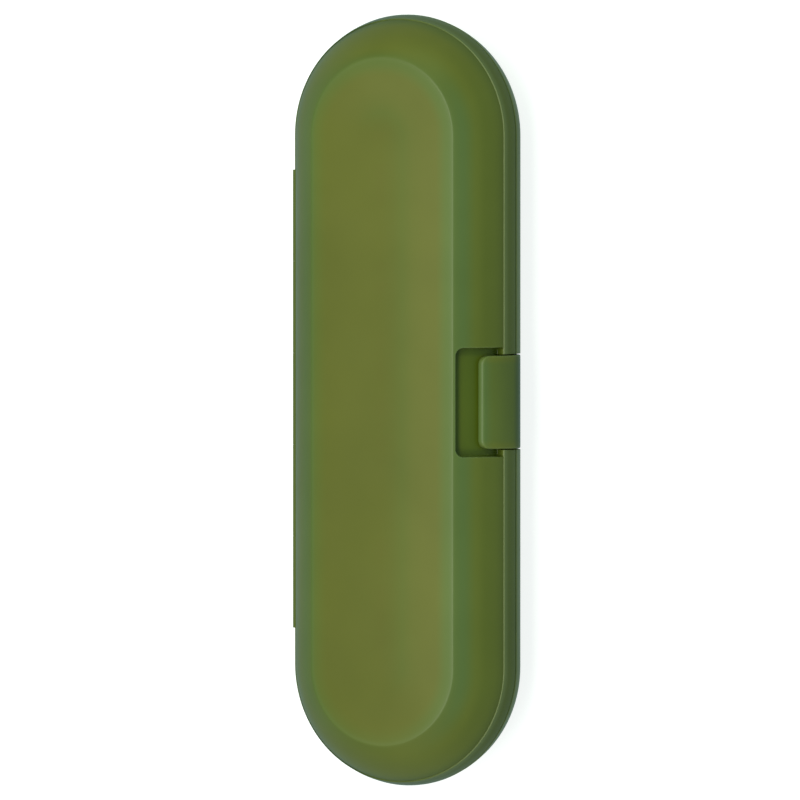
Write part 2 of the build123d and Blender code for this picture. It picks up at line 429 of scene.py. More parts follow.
pinLook = {
    "deep": (0.42, 0.42, 0.41),
    "pale": (0.62, 0.62, 0.60),
    "rampEnds": (0, 1),
    "scale": 900.0,
    "stretch": (1, 6, 1),
    "roughness": 0.3,
    "bump": 0.15,
    "bumpDepth": 0.02 * mm,
}
screwLook = {
    **pinLook,
    "deep": (0.45, 0.45, 0.44),
    "pale": (0.66, 0.66, 0.65),
    "scale": 1200.0,
    "stretch": (1, 1, 5),
    "roughness": 0.28,
}
finishes = {
    "shell_plastic": mouldedPlastic("olive_shell_plastic", shellLook),
    "latch_plastic": mouldedPlastic("olive_latch_plastic", latchLook),
    "tray_plastic": mouldedPlastic("olive_tray_plastic", trayLook),
    "pad_rubber": mouldedPlastic("dark_pad_rubber", padLook),
    "pin_steel": drawnSteel("pin_steel", pinLook),
    "screw_steel": drawnSteel("screw_steel", screwLook),
}
print("finishes made")


# What each row of the half section belongs to
onPanel, onCrease, onSide, onBand, onRim, onInside, onRoof = range(7)


def sideLine():
    # the line over the panel and round the crease: the panel falls by the crown, a share as the square and
    # the rest as the eighth power of the way out, and the crease is an arc tangent to the side
    c = caseShape
    bandTop = arcX + sideArc * np.cos(np.radians(c["leanLow"])) + c["bandStep"]
    radius = c["creaseRound"]
    middleZ = seamZ - c["crown"] - radius
    sine = (middleZ - arcZ) / (sideArc - radius)
    creaseAngle = np.degrees(np.arcsin(sine))
    creaseMiddle = (arcX + (sideArc - radius) * np.sqrt(1 - sine**2), middleZ)
    out = np.array(rowShape["panel"])
    early, late = c["crownShares"]
    fall = c["crown"] * (early * out**2 + late * out**8)
    panel = np.stack([creaseMiddle[0] * out, seamZ - fall], axis=1)
    crease = arcPoints(creaseMiddle, radius, c["creaseStart"], creaseAngle, rowShape["crease"])
    return bandTop, creaseAngle, panel, crease


def sideAngles(creaseAngle, dense):
    # angles down the side arc, close together where the line crosses an edge
    marks = [creaseAngle - rowShape["shortOfCrease"], *dense, caseShape["leanLow"] + rowShape["shortOfBand"]]
    return np.unique(np.round(np.concatenate([np.atleast_1d(m) for m in marks]), 4))[::-1]


def bandLine(start, bandTop):
    # the groove above the band, the bulged band and the rounded rim, as tangent arcs between straight lines
    c = caseShape
    edge, gap = c["halfWidth"], c["rimGap"]
    lowX, lowZ = sidePoint(c["leanLow"], 0)
    topOut, topUp, topRound = c["grooveTop"]
    floorIn, floorDown, floorRound = c["grooveFloor"]
    line = roundedLine(
        [
            (*start, 0),
            (lowX + topOut, lowZ + topUp, topRound),
            (lowX - floorIn, lowZ - floorDown, floorRound),
            (bandTop, c["bandHeight"] - c["bandStep"] / 2, c["bandRound"]),
            ((bandTop + edge) / 2 + c["bandBulge"], c["bandHeight"] / 2, c["bulgeRound"]),
            (edge, gap, c["rimRound"]),
            (edge - 2 * c["rimRound"], gap, 0),
        ]
    )[1:-1]
    places = lineLength(line)
    extra = places[-1] * np.linspace(*rowShape["denseBand"])
    added = np.stack([np.interp(extra, places, line[:, k]) for k in (0, 1)], axis=1)
    order = np.unique(np.concatenate([places, extra]), return_index=True)[1]
    return np.concatenate([line, added])[order]


def rimLine(lip):
    # across the rim to the inside: over a bevelled lip, or through the groove that takes it
    c = caseShape
    gap, inner = c["rimGap"], c["halfWidth"] - c["wall"]
    out = inner + c["lipThickness"]
    if lip:
        top, bevel = gap - c["lipHeight"], c["lipBevel"]
        crest = [(out, top + bevel), (out - bevel, top), (inner + bevel, top), (inner, top + bevel)]
        return np.array([(out, gap), *crest, (inner, gap)])
    out = out + c["lipClearance"]
    top, bevel = c["lipHeight"] + c["lipClearance"], c["grooveBevel"]
    return np.array([(out, gap), (out, top - bevel), (out - bevel, top), (inner, top)])


def halfProfile(dense, lip, floorDepth):
    # the closed half section: outside, rim, lip or groove, inside; and where each row goes under the latch
    c = caseShape
    bandTop, creaseAngle, panel, crease = sideLine()
    angles = sideAngles(creaseAngle, dense)
    side = sidePoints(angles, 0)
    ledge = bandLine(side[-1], bandTop)
    rim = rimLine(lip)
    roofZ = seamZ - c["wall"]
    innerTop = np.degrees(np.arcsin((roofZ - arcZ) / (sideArc - c["wall"])))
    innerAngles = np.linspace(c["leanLow"], innerTop, rowShape["inside"])
    inside = sidePoints(innerAngles, c["wall"])
    roofX = inside[-1, 0] * np.array(rowShape["roof"])
    roof = np.stack([roofX, np.full(len(roofX), roofZ)], axis=1)
    # under the latch outside rows lie on the floor, inside rows on the backing's far side
    backing = floorDepth + recessShape["backing"]
    sines = [(c["rimGap"] - arcZ) / (sideArc - depth) for depth in (floorDepth, backing)]
    outLow, inLow = np.degrees(np.arcsin(sines))
    share = lineLength(np.concatenate([side[-1:], ledge]))[1:]
    share = share / share[-1]
    ledgeAngles = c["leanLow"] + (outLow - c["leanLow"]) * share
    floorSide, floorLedge = sidePoints(angles, floorDepth), sidePoints(ledgeAngles, floorDepth)
    across = np.linspace(*rowShape["rim"], len(rim))[:, None]
    floorRim = sidePoint(outLow, floorDepth) * (1 - across) + sidePoint(inLow, backing) * across
    floorInside = sidePoints(innerAngles, backing)
    parts = [panel, crease, side, ledge, rim, inside, roof]
    rows = np.concatenate(parts)
    kinds = np.concatenate([np.full(len(part), kind) for kind, part in enumerate(parts)])
    rowAngles = np.select([kinds <= onCrease, kinds == onRoof], [90.0, 90.0], 0.0)
    floorAngles = np.zeros(len(rows))
    for kind, values in ((onSide, angles), (onInside, innerAngles)):
        rowAngles[kinds == kind] = values
    for kind, values in ((onSide, angles), (onBand, ledgeAngles)):
        floorAngles[kinds == kind] = values
    down = lineLength(rows)
    down = down - down[len(panel) + len(crease) // 2]
    return {
        "rows": rows,
        "floor": np.concatenate([panel, crease, floorSide, floorLedge, floorRim, floorInside, roof]),
        "kinds": kinds,
        "down": down,
        "angles": rowAngles,
        "across": across,
        "floorAngles": floorAngles,
        "bandDown": down[np.argmin(np.hypot(rows[:, 0] - bandTop, rows[:, 1] - c["bandHeight"]))],
    }


# Painted light and shade on the outside as colour factors: paler and cooler painted highlights by the crease,
# painted shade low on the side and at the hinge side's crease, a browner panel and a warmer top end; shares
# for the sides towards +X, -X, +Y and -Y, where it starts and stops in mm along the section from the crease,
# how softly, and the factor on the colour
paintedLightTable = (
    ((1, 0, 1, 0), (-99, -20), 4.0, (1.05, 0.90, 0.66)),
    ((0, 1, 0, 1), (-99, -3), 3.0, (1.05, 0.92, 0.66)),
    ((1, 0, 1, 0), (-15, -2), 4.0, (1.22, 1.05, 1.15)),
    ((1, 0.2, 0.7, 0), (-4, 0), 2.0, (0.88, 1.11, 1.50)),
    ((1, 0.6, 0, 0), (0.3, 5.5), 2.5, (0.81, 1.02, 1.85)),
    ((1, 0, 0, 0), (9, 16), 2.0, (0.87, 0.90, 0.80)),
    ((0, 0, 1, 0.3), (2, 14), 2.0, (1.20, 1.06, 0.80)),
    ((0, 1, 0, 0), (-1.0, 0.2), 0.8, (0.78, 0.93, 0.85)),
)


def paintedLightOver(down, outX, outY):
    # painted light and shade: product of the table's factors less one, each weighed by the outward direction
    # squared and eased in and out
    shares = np.maximum([outX, -outX, outY, -outY], 0) ** 2
    tone = np.ones((len(down), len(outX), 3))
    for sides, (start, stop), ease, factor in paintedLightTable:
        along = smooth(start - ease, start + ease, down / mm) * smooth(stop + ease, stop - ease, down / mm)
        amount = along[:, None] * (np.array(sides) @ shares)
        tone = tone * (1 + amount[..., None] * (np.array(factor) - 1))
    return tone - 1


def knuckles():
    # middles of the hinge's barrels, a gap apart, and the length of one
    h = hingeShape
    length = (h["length"] - h["gap"] * (h["knuckles"] - 1)) / h["knuckles"]
    middles = (np.arange(h["knuckles"]) - (h["knuckles"] - 1) / 2) * (length + h["gap"])
    return middles, length


def straightStations():
    # places along the straight sides, dense at the latch's edges and at the barrels' ends
    r, n, half = recessShape, columnShape, caseShape["halfStraight"]
    middles, length = knuckles()
    ends = np.concatenate([middles - length / 2, middles + length / 2])
    backing = r["halfLength"] + n["pastEdge"]
    lipEnd = hingeShape["length"] / 2 + caseShape["lipEndGap"]
    lipStart, lipStop, lipCount = n["atLipEnd"]
    near = n["atBarrelEnd"]
    places = [
        np.arange(r["halfNotch"] - n["beforeNotch"], r["halfLength"] + n["pastRecess"], n["edgeStep"]),
        np.linspace(backing, backing + r["backing"], n["backing"]),
        *[np.linspace(e - near, e + near, n["barrelEnd"]) for e in ends if e > 0],
        np.linspace(lipEnd + lipStart, lipEnd + lipStop, lipCount),
        np.linspace(0, r["halfNotch"] - n["pastEdge"], n["underLatch"]),
        np.linspace(n["openFrom"], half, n["open"]),
    ]
    upper = np.unique(np.round(np.concatenate(places), 6))
    upper = upper[upper <= half + 1e-9]
    upper = upper[np.concatenate([[True], np.diff(upper) > n["closest"]])]
    return np.concatenate([-upper[:0:-1], upper])


def outlinePath():
    # one loop round the stadium: medial point and outward direction of each column, and which are straight
    y, half = straightStations(), caseShape["halfStraight"]
    turn = np.linspace(0, np.pi, columnShape["roundEnd"])[1:-1]
    end, flat = np.full(len(turn), half), np.ones(len(y))
    middle = np.concatenate([y, end, y[::-1], -end])
    outX = np.concatenate([flat, np.cos(turn), -flat, -np.cos(turn)])
    outY = np.concatenate([0 * y, np.sin(turn), 0 * y, -np.sin(turn)])
    return middle, outX, outY, outY == 0


def sunk(distance, edge):
    # 0 outside an outline and 1 inside it, eased over the edge's width, a third of it outside
    return smooth(edge / 3, edge / 3 - edge, distance)


def recessMask(profile, y):
    # 1 on the recess floor and in the notch, 0 outside, by the distance to a rectangle with rounded corners
    r = recessShape
    down = profile["down"][:, None]
    side = profile["kinds"] == onSide
    topDown = np.interp(-r["topAngle"], -profile["angles"][side], profile["down"][side])
    lowDown = profile["down"][side][-1] + r["pastSide"]
    middle, half = (topDown + lowDown) / 2, (lowDown - topDown) / 2
    corner = np.where(down < middle, r["corner"], r["lowCorner"])
    over = np.abs(y) - r["halfLength"] + corner
    past = np.abs(down - middle) - half + corner
    outside = np.hypot(np.maximum(over, 0), np.maximum(past, 0))
    recess = np.minimum(np.maximum(over, past), 0) + outside - corner
    notch = np.maximum(np.abs(y) - r["halfNotch"], middle - down)
    mask = np.maximum(sunk(recess, r["edge"]), sunk(notch, r["notchEdge"]))
    return mask, np.minimum(recess, notch)


def baseNotch(profile, y, mouth, reach):
    # distance to the notch, which ends at the mouth; its floor is sunk to a circle round the latch's barrel
    r, angles, kinds = recessShape, profile["angles"], profile["kinds"]
    beyond = (angles - mouth) * np.radians(1) * sideArc
    beyond = np.where(kinds == onSide, beyond, np.where(kinds < onSide, farOff, -farOff))
    away = (angles - latchShape["pivotAngle"]) * np.radians(1) * sideArc
    pocket = latchShape["barrel"] - latchShape["proud"] + np.sqrt(np.maximum(reach**2 - away**2, 0))
    depth = np.where(np.abs(away) < reach, np.maximum(pocket, r["depth"]), r["depth"])
    for kind, behind in ((onSide, 0), (onInside, r["backing"])):
        here = kinds == kind
        profile["floor"][here] = sidePoints(angles[here], depth[here] + behind)
    return np.maximum(np.abs(y) - r["halfNotch"], beyond[:, None])


def pressedMask(profile, outer, y, housing):
    # how far each point goes under the latch: the outer mask outside, eased over the rim to the housing
    kind, r = profile["kinds"][:, None], recessShape
    far = r["halfLength"] + r["backing"]
    behind = smooth(far, far - r["backingEase"], np.abs(y))
    across = np.zeros((len(kind), 1))
    across[kind[:, 0] == onRim] = profile["across"]
    rim = sunk(np.abs(y) - r["halfNotch"], r["notchEdge"]) * (1 - across) + behind * across
    inside = behind * smooth(*housing, profile["angles"])[:, None]
    return np.select([kind <= onBand, kind == onRim, kind == onInside], [outer, rim, inside], 0.0)


def slotDepth(profile, y, mask):
    # the depth of the slot for the latch's hook, eased in and out along the side arc and along Y
    r, edge = recessShape, recessShape["slotEdge"]
    low, high = np.radians(r["slotAngles"]) * sideArc
    along = np.radians(profile["floorAngles"]) * sideArc
    slot = smooth(low, low + edge, along) * smooth(high, high - edge, along)
    ends = smooth(r["halfNotch"], r["halfNotch"] - edge, np.abs(y))
    return r["slotDepth"] * slot[:, None] * ends * mask


def clearBarrels(rho, z, middle, hingeSide, others):
    # room for the other half's barrels: no further out than a circle of their radius and gap about the hinge
    h = hingeShape
    clear, ease = h["radius"] + h["gap"], h["roomEase"]
    room = np.min(np.abs(middle[:, None] - others), axis=1) - knuckles()[1] / 2 - h["gap"]
    reachIn = -hingeX - np.sqrt(np.maximum(clear**2 - z**2, 0))
    push = smooth(ease, -ease, room) * ((np.abs(z) < clear) & hingeSide)
    return rho * (1 - push) + np.minimum(rho, reachIn) * push


# How the shells are rubbed and given painted highlights and painted shade: places and widths, then strengths
# from 0 to 1
shellTones = {
    # painted highlight along the crease, with its wear
    "crease": (-0.5 * mm, 0.8 * mm, 0.3),
    "bandWidth": 0.35 * mm,
    # painted highlight on the band's top edge: full towards the latch's side, a share of it on the hinge's
    # side
    "highlightSide": (-0.2, 0.8),
    "hingeSideHighlight": 0.25,
    "recessEdge": (0.1 * mm, 0.25 * mm, 0.8),
    "edgeAngles": (29, 33),
    "seam": (0, 0.5 * mm, 0.5),
    # painted shade low on the band, for the lid and for the base, less at the +Y end
    "paintedBandShade": {True: 0.5, False: 0.15},  # for the lid and for the base
    "paleEnd": 0.4,
    "bandFade": (3 * mm, -1 * mm),
    # painted shade in the groove round the ends on the hinge's side
    "farEnds": (0, 0.45),
    "grooveFade": (1.2 * mm, 0.2 * mm),
    # painted shade in the recess, in the gaps at the latch's ends and up its lower wall
    "recess": (49, 54, 0.4, 0.5),
    "latchGap": (-0.5 * mm, 0.6 * mm, 0.25),
    "lowWall": (34, 30, 0.7),
    "wallEase": 0.1,
}


def rubbedAndHighlitEdges(profile, mask, distance, outX, latchSide):
    # wear and painted highlights: the largest of bell curves about the crease, the band's top edge and the
    # recess's edge
    t, kinds, down = shellTones, profile["kinds"], profile["down"]
    crease = bell(down, *t["crease"]) * (kinds <= onSide)
    band = bell(down, profile["bandDown"], t["bandWidth"]) * (kinds == onBand)
    highlightSide = t["hingeSideHighlight"] + (1 - t["hingeSideHighlight"]) * smooth(*t["highlightSide"], outX)
    wearAndHighlight = np.maximum(crease[:, None], band[:, None] * highlightSide)
    recess = bell(distance, *t["recessEdge"]) * latchSide
    recess = recess * (smooth(*t["edgeAngles"], profile["angles"]) * (kinds <= onBand))[:, None]
    return np.maximum(wearAndHighlight * (1 - mask), recess)


def lidShade(low, wearAndHighlight, profile, mask, outX, outY, y, z):
    # painted shade darkens the groove above the band round the ends on the hinge's side, and painted shade
    # falls in the recess, most in the gaps at the latch's ends and up the lower wall
    t, kinds, half = shellTones, profile["kinds"][:, None], latchShape["halfLength"]
    farEnds = smooth(*t["farEnds"], -outX * np.abs(outY)) * ((kinds == onSide) | (kinds == onBand))
    low = np.maximum(low, farEnds * smooth(*t["grooveFade"], np.abs(z - caseShape["bandHeight"])))
    start, stop, amount = t["latchGap"]
    gap = amount * smooth(half + start, half + stop, np.abs(y))
    start, stop, amount, lost = t["recess"]
    paintedShade = np.maximum(amount - lost * smooth(start, stop, profile["angles"])[:, None], 0) + gap
    low = np.maximum(low, mask * (kinds <= onBand) * paintedShade)
    start, stop, amount = t["lowWall"]
    wall = smooth(start, stop, profile["floorAngles"])[:, None] * (kinds == onSide)
    return np.maximum(low, amount * wall * smooth(0, t["wallEase"], mask)), wearAndHighlight * (1 - farEnds)


def shellTone(isLid, profile, mask, distance, outX, outY, y, z):
    # wear and painted highlights, painted shade, and tints of painted light and shade for every point of a
    # half
    t, kinds = shellTones, profile["kinds"][:, None]
    wearAndHighlight = rubbedAndHighlitEdges(profile, mask, distance, outX, y < farOff)
    # painted shade low on the side by the band, less at the +Y end
    paintedShade = t["paintedBandShade"][isLid] * (1 - t["paleEnd"] * np.maximum(outY, 0))
    low = paintedShade * smooth(*(caseShape["bandHeight"] + fade for fade in t["bandFade"]), z)
    if isLid:
        low, wearAndHighlight = lidShade(low, wearAndHighlight, profile, mask, outX, outY, y, z)
    wearAndHighlight = np.maximum(wearAndHighlight, bell(profile["rows"][:, 1:], *t["seam"]) * (kinds == onBand) * (1 - mask))
    # painted light and shade outside, and a painted shade tint on the recess floor
    outside = paintedLightOver(profile["down"], outX, outY) * (kinds <= onSide)[..., None]
    paintedRecessShade = (np.array(recessShape["tone"]) - 1) * (kinds <= onBand)[..., None]
    tintAndPaintedLight = outside * (1 - mask)[..., None] + paintedRecessShade * mask[..., None]
    return [("wearAndHighlight", wearAndHighlight), ("low", low), ("tintAndPaintedLight", tintAndPaintedLight)]


def makeHalf(name, node, body, isLid):
    # the half section carried round the stadium, pressed in under the latch and at the other half's barrels
    r, h, w = recessShape, hingeShape, rowShape
    reach = latchShape["barrel"] + r["pocketGap"]
    mouth = latchShape["pivotAngle"] + np.degrees(reach / sideArc)
    if isLid:
        top = r["topAngle"] - np.degrees(np.arange(*w["recessTop"]) / sideArc)
        slotTop = r["slotAngles"][1] + np.arange(*w["slotTop"])
        dense = [top, np.linspace(*w["recessFloor"]), slotTop, np.arange(*w["slotFoot"])]
        housing = w["lidHousing"]
    else:
        high, above, count = w["aboveMouth"]
        below, low, lowCount = w["belowMouth"]
        upper, lower = np.linspace(high, mouth + above, count), np.linspace(mouth - below, low, lowCount)
        dense = [upper, mouth + np.linspace(*w["mouth"]), lower]
        housing = [mouth + angle for angle in w["baseHousing"]]
    profile = halfProfile(dense, not isLid, r["depth"])
    middle, outX, outY, straight = outlinePath()
    latchSide, hingeSide = straight & (outX > 0), straight & (outX < 0)
    y = np.where(latchSide, middle, farOff)
    if isLid:
        outer, distance = recessMask(profile, y)
    else:
        distance = baseNotch(profile, y, mouth, reach)
        outer = sunk(distance, r["notchEdge"])
    mask = np.where(latchSide, pressedMask(profile, outer, y, housing), 0.0)
    rows, floor = profile["rows"], profile["floor"]
    rho, z = (rows[:, k, None] * (1 - mask) + floor[:, k, None] * mask for k in (0, 1))
    if isLid:
        # the slot is sunk along each point's own radius of the side arc
        sink, turn = slotDepth(profile, y, mask), np.radians(profile["floorAngles"])[:, None]
        rho = rho - sink * np.cos(turn)
        z = z - sink * np.sin(turn)
    else:
        # the lip stops at the hinge and at the latch
        stop = np.where(hingeSide, np.abs(middle) - h["length"] / 2, farOff)
        stop = np.where(latchSide, np.abs(middle) - r["halfLength"] - r["backing"], stop)
        keep = smooth(0, caseShape["lipEase"], stop - caseShape["lipEndGap"])
        flat = np.where(profile["kinds"][:, None] == onRim, np.maximum(z, caseShape["rimGap"]), z)
        z = z * keep + flat * (1 - keep)
    middles, length = knuckles()
    own, others = (middles[1::2], middles[0::2]) if isLid else (middles[0::2], middles[1::2])
    rho = clearBarrels(rho, z, middle, hingeSide, others)
    sign = 1 if isLid else -1
    grid = np.stack([rho * outX, middle + rho * outY, seamZ + sign * z], axis=-1)
    extras = shellTone(isLid, profile, mask, distance, outX, outY, y, z)
    meshPiece(name, grid, "left", body, "shell_plastic", node, extras)
    for k, place in enumerate(own):
        makeBarrel(f"{name}_barrel_{k + 1}", place, length, body, node)


def rings(radius, along, count):
    # circles of each radius at each place along an axis: two coordinates across it and one along it
    turn = np.linspace(0, 2 * np.pi, count, endpoint=False)
    radius, along = np.array(radius)[:, None], np.array(along)[:, None]
    return radius * np.cos(turn), radius * np.sin(turn), along * np.ones(count)


def turned(name, profile, centre, count, body, slot, node):
    # a closed outline of (along Y, radius) pairs turned about an axis parallel to Y
    along, radius = np.array(profile).T
    x, z, y = rings(radius, along, count)
    ends = "joined" if radius[0] > 0 else "left"
    meshPiece(name, np.stack([x, y, z], axis=-1) + centre, ends, body, slot, node)


def makeBarrel(name, place, length, body, node):
    # a tube with rounded ends turned about the hinge's axis, with a row near each end
    h, half = hingeShape, length / 2
    outline = ringOutline(half, h["radius"], h["bore"], h["edge"], h["boreEdge"])
    outline = np.insert(outline, 1, [half - h["endRows"], h["radius"]], axis=0)
    outline = np.append(outline, [[h["endRows"] - half, h["radius"]]], axis=0)
    turned(name, outline, (hingeX, place, seamZ), h["columns"], body, "shell_plastic", node)


makeHalf("lid_half", "lid_shell", "lid", True)
makeHalf("base_half", "base_shell", "base", False)
print("shells and hinge barrels made")


def latchOutline():
    # closed outline in X and Z, down the outside, round the barrel and back up the inside, and how far the
    # bar's ends are rounded at each point: most by the free end, little on the hidden side with the hook
    s = latchShape
    flip = np.array([1, -1])
    proud, thick, nose, pivotAngle = s["proud"], s["thickness"], s["nose"], s["pivotAngle"]
    noseX = arcX + np.sqrt((sideArc + proud - nose) ** 2 - arcZ**2)
    noseAngle = np.degrees(np.arcsin(-arcZ / (sideArc + proud - nose)))
    top, low = s["topAngle"] - s["topLead"], noseAngle + s["noseLead"]
    sideSteps, noseSteps, lowSteps, barrelSteps = s["outsideSteps"]
    lowInside, noseInside, topInside = s["insideSteps"]
    outside = sidePoints(np.linspace(top, low, sideSteps), -proud)
    front = arcPoints((noseX, 0), nose, noseAngle, -noseAngle, noseSteps)
    lower = sidePoints(np.linspace(low, pivotAngle, lowSteps), -proud) * flip
    pivot = sidePoint(pivotAngle, s["barrel"] - proud) * flip
    depthIn = thick - proud
    meet = np.degrees(np.arccos(np.clip((s["barrel"] - thick) / s["barrel"], -1, 1)))
    last = meet + s["barrelLead"] - pivotAngle - 360
    barrel = arcPoints(pivot, s["barrel"], -pivotAngle, last, barrelSteps)[1:]
    innerLow = sidePoints(np.linspace(pivotAngle - s["innerLead"], low, lowInside), depthIn) * flip
    innerFront = arcPoints((noseX, 0), nose - thick, -noseAngle, noseAngle, noseInside)
    tip = recessShape["depth"] + s["hookReach"]
    start, root = s["hookAngle"], s["hookAngle"] + s["hookRootAngle"]
    angles = (start - s["hookLead"], start, start, start + s["hookTipAngle"], root, root + s["hookLead"])
    depths = (depthIn, depthIn, tip, tip, depthIn, depthIn)
    rounds = (0, *s["hookRounds"], 0)
    hook = [(*sidePoint(angle, depth), curl) for angle, depth, curl in zip(angles, depths, rounds)]
    innerTop = sidePoints(np.linspace(root + s["pastHook"], top, topInside), depthIn)
    freeEnd = [
        (*innerTop[-1], 0),
        (*sidePoint(s["topAngle"], depthIn), s["innerRound"]),
        (*sidePoint(s["topAngle"], -proud), s["outerRound"]),
        (*outside[0], 0),
    ]
    freeEnd = roundedLine(freeEnd, s["roundSteps"][1])[1:-1]
    parts = [outside, front, lower, barrel, innerLow, innerFront, roundedLine(hook), innerTop, freeEnd]
    edges = [s["edge"], *[s["noseEdge"]] * 3, *[s["hiddenEdge"]] * 5, s["edge"]]
    inset = [np.linspace(a, b, len(part)) for part, a, b in zip(parts, edges, edges[1:])]
    return np.concatenate(parts), np.concatenate(inset)


def makeLatch():
    # the outline carried along Y, drawn in by a quarter circle at both ends, with its free end turned back
    # about the side arc's centre for round corners
    s = latchShape
    outline, edges = latchOutline()
    half, edge = s["halfLength"], s["edge"]
    curl = edge * (1 - np.cos(np.linspace(0, np.pi / 2, s["roundSteps"][0])))
    near = half - np.array([*curl, *s["endColumns"], s["corner"] + s["pastCorner"]])
    start, count = s["openColumns"]
    y = np.unique(np.round(np.concatenate([-near, near, np.linspace(start - half, half - start, count)]), 7))
    along = np.roll(outline, 1, axis=0) - np.roll(outline, -1, axis=0)
    normal = np.stack([-along[:, 1], along[:, 0]], axis=1)
    normal /= np.linalg.norm(normal, axis=1)[:, None]
    if np.sum((outline - outline.mean(axis=0)) * normal) < 0:
        normal = -normal
    bend = 1 - np.sqrt(np.maximum(1 - (np.maximum(np.abs(y) - (half - edge), 0) / edge) ** 2, 0))
    inset = bend[:, None] * edges
    angle = np.degrees(np.arctan2(outline[:, 1] - arcZ, outline[:, 0] - arcX))
    upper = smooth(s["topAngle"] - s["cornerAngle"], s["topAngle"], angle) * (outline[:, 1] > 0)
    nearEnd = np.maximum(np.abs(y) - (half - s["corner"]), 0)
    pull = s["corner"] - np.sqrt(np.maximum(s["corner"] ** 2 - nearEnd**2, 0))
    points = outline - normal * inset[:, :, None]
    back = pull[:, None] * upper / sideArc
    dx, dz = points[..., 0] - arcX, points[..., 1] - arcZ
    x = arcX + dx * np.cos(back) + dz * np.sin(back)
    z = arcZ - dx * np.sin(back) + dz * np.cos(back)
    grid = np.stack([x, y[:, None] + 0 * x, seamZ + z], axis=-1)
    # wear and painted highlights at the ends and tip, painted shade towards the nose, a painted highlight
    # paler on the top, and warmer ends
    fromEnd, fromTop = half - np.abs(y)[:, None], s["topAngle"] - angle
    whole = np.ones(x.shape)
    wearAndHighlight = np.maximum(bell(fromEnd, *s["endWearAndHighlight"]), bell(fromTop, *s["tipWearAndHighlight"]))
    low = sum(amount * smooth(high, deep, z) for amount, high, deep in s["paintedShade"])
    tintAndPaintedLight = 0
    for place, (factor, start, stop) in ((fromTop, s["topTint"]), (fromEnd, s["endTint"])):
        tintAndPaintedLight = tintAndPaintedLight + (smooth(start, stop, place) * whole)[..., None] * (np.array(factor) - 1)
    extras = [("wearAndHighlight", wearAndHighlight), ("low", low), ("tintAndPaintedLight", tintAndPaintedLight)]
    meshPiece("latch_bar", grid, "capped", "latch", "latch_plastic", "latch", extras)


makeLatch()
print("latch made")

# The trays, heights measured from the seam; handle and heads lie in round hollows
trayShape = {
    "wall": 1.4 * mm,
    "drop": 1.6 * mm,
    "edge": 35.3 * mm,
    "edgeLean": 0.5 * mm,
    "rimRound": 0.3 * mm,
    "lipRound": 0.55 * mm,
    "draft": 0.15 * mm,
    "draftHeight": 16 * mm,
    "backRound": 0.3 * mm,
    "latchSide": 31.4 * mm,
    "latchHalf": 19.1 * mm,
    "latchEase": (0.35 * mm, 0.5 * mm),
    "pastHeads": 3.4 * mm,
    "lipRows": 9,
    "draftRows": (0.3, 0.6, 1.0),
    "wallRows": (0.4 * mm, 2.2 * mm, 7),
    "taperRows": (12, 5),
    "cornerRows": 7,
    "endRows": 34,
    "openRows": 34,
    "closest": 0.02 * mm,
    "lipColumns": 6,
    "flatColumns": (2, 3, 2),
    "rimColumns": 4,
    "pointed": 2 * mm,  # half width below which the rim's rounding shrinks
}
handleHollow = {
    "x": -14.0 * mm,
    "radius": 14.4 * mm,
    "ends": (-98.0 * mm, 98.0 * mm),
    "round": (2.0 * mm, 1.5 * mm),
    "taper": (42.0 * mm, 58.0 * mm),
    "slimRadius": 9.0 * mm,
    "steps": 26,
}
headHollow = {
    "x": 17.0 * mm,
    "radius": 7.4 * mm,
    "ends": (21.5 * mm, 97.0 * mm),
    "round": (1.5 * mm, 1.5 * mm),
    "taper": (55.5 * mm, 56.9 * mm),
    "slimRadius": 6.0 * mm,
    "steps": 18,
}


def hollowRadius(h, y):
    # radius at a place along Y: an eased taper, less a quarter circle's fall before each end wall
    near, far = h["ends"]
    nearRound, farRound = h["round"]
    radius = h["radius"] + (h["slimRadius"] - h["radius"]) * smooth(*h["taper"], y)
    short = np.clip(near + nearRound - y, 0, nearRound), np.clip(y - far + farRound, 0, farRound)
    for size, over in zip((nearRound, farRound), short):
        radius = radius - size + np.sqrt(size**2 - over**2)
    return radius


def lipFoot(radius, level, lip):
    # how far from a hollow's middle its lip's circle meets the level face
    return np.sqrt((radius + lip) ** 2 - (level + lip) ** 2)


def hollowDepth(h, across, y, grow, level, lip):
    # depth under a hollow: a circle about the seam line, rounded over at the lip by a tangent circle, and no
    # deeper than the end walls, which rise steeply from the same rounding
    t = trayShape
    radius = hollowRadius(h, y) + grow
    foot = lipFoot(radius, level, lip)
    fromLip = np.clip(foot - across, 0, lip)
    curl = level + lip - np.sqrt(lip**2 - fromLip**2)
    bowl = np.sqrt(np.maximum(radius**2 - across**2, 0))
    depth = np.where(across > radius * foot / (radius + lip), curl, bowl)
    depth = np.where(across > foot, level, depth)
    inside = np.minimum(y - h["ends"][0], h["ends"][1] - y) + grow
    edge = np.clip(inside + lip, 0, lip)
    wall = level + lip - np.sqrt(lip**2 - edge**2) + np.maximum(inside, 0) / t["draft"] * t["draftHeight"]
    return np.minimum(depth, np.where(inside < -lip, level, wall))


def hollowColumns(h, y, grow, level, lip):
    # places across a hollow, close together on the lips, as steps from its middle
    radius = hollowRadius(h, np.clip(y, *h["ends"])) + grow
    foot = lipFoot(radius, level, lip)
    start = np.arccos(foot / (radius + lip))
    turn = start[:, None] + (np.pi - 2 * start[:, None]) * np.linspace(0, 1, h["steps"])
    arc = -radius[:, None] * np.cos(turn)
    share = np.linspace(0, 1, trayShape["lipColumns"])[:-1]
    curl = np.sin(share * (np.pi / 2 - start[:, None])) * lip
    return np.concatenate([curl - foot[:, None], arc, (foot[:, None] - curl)[:, ::-1]], axis=1)


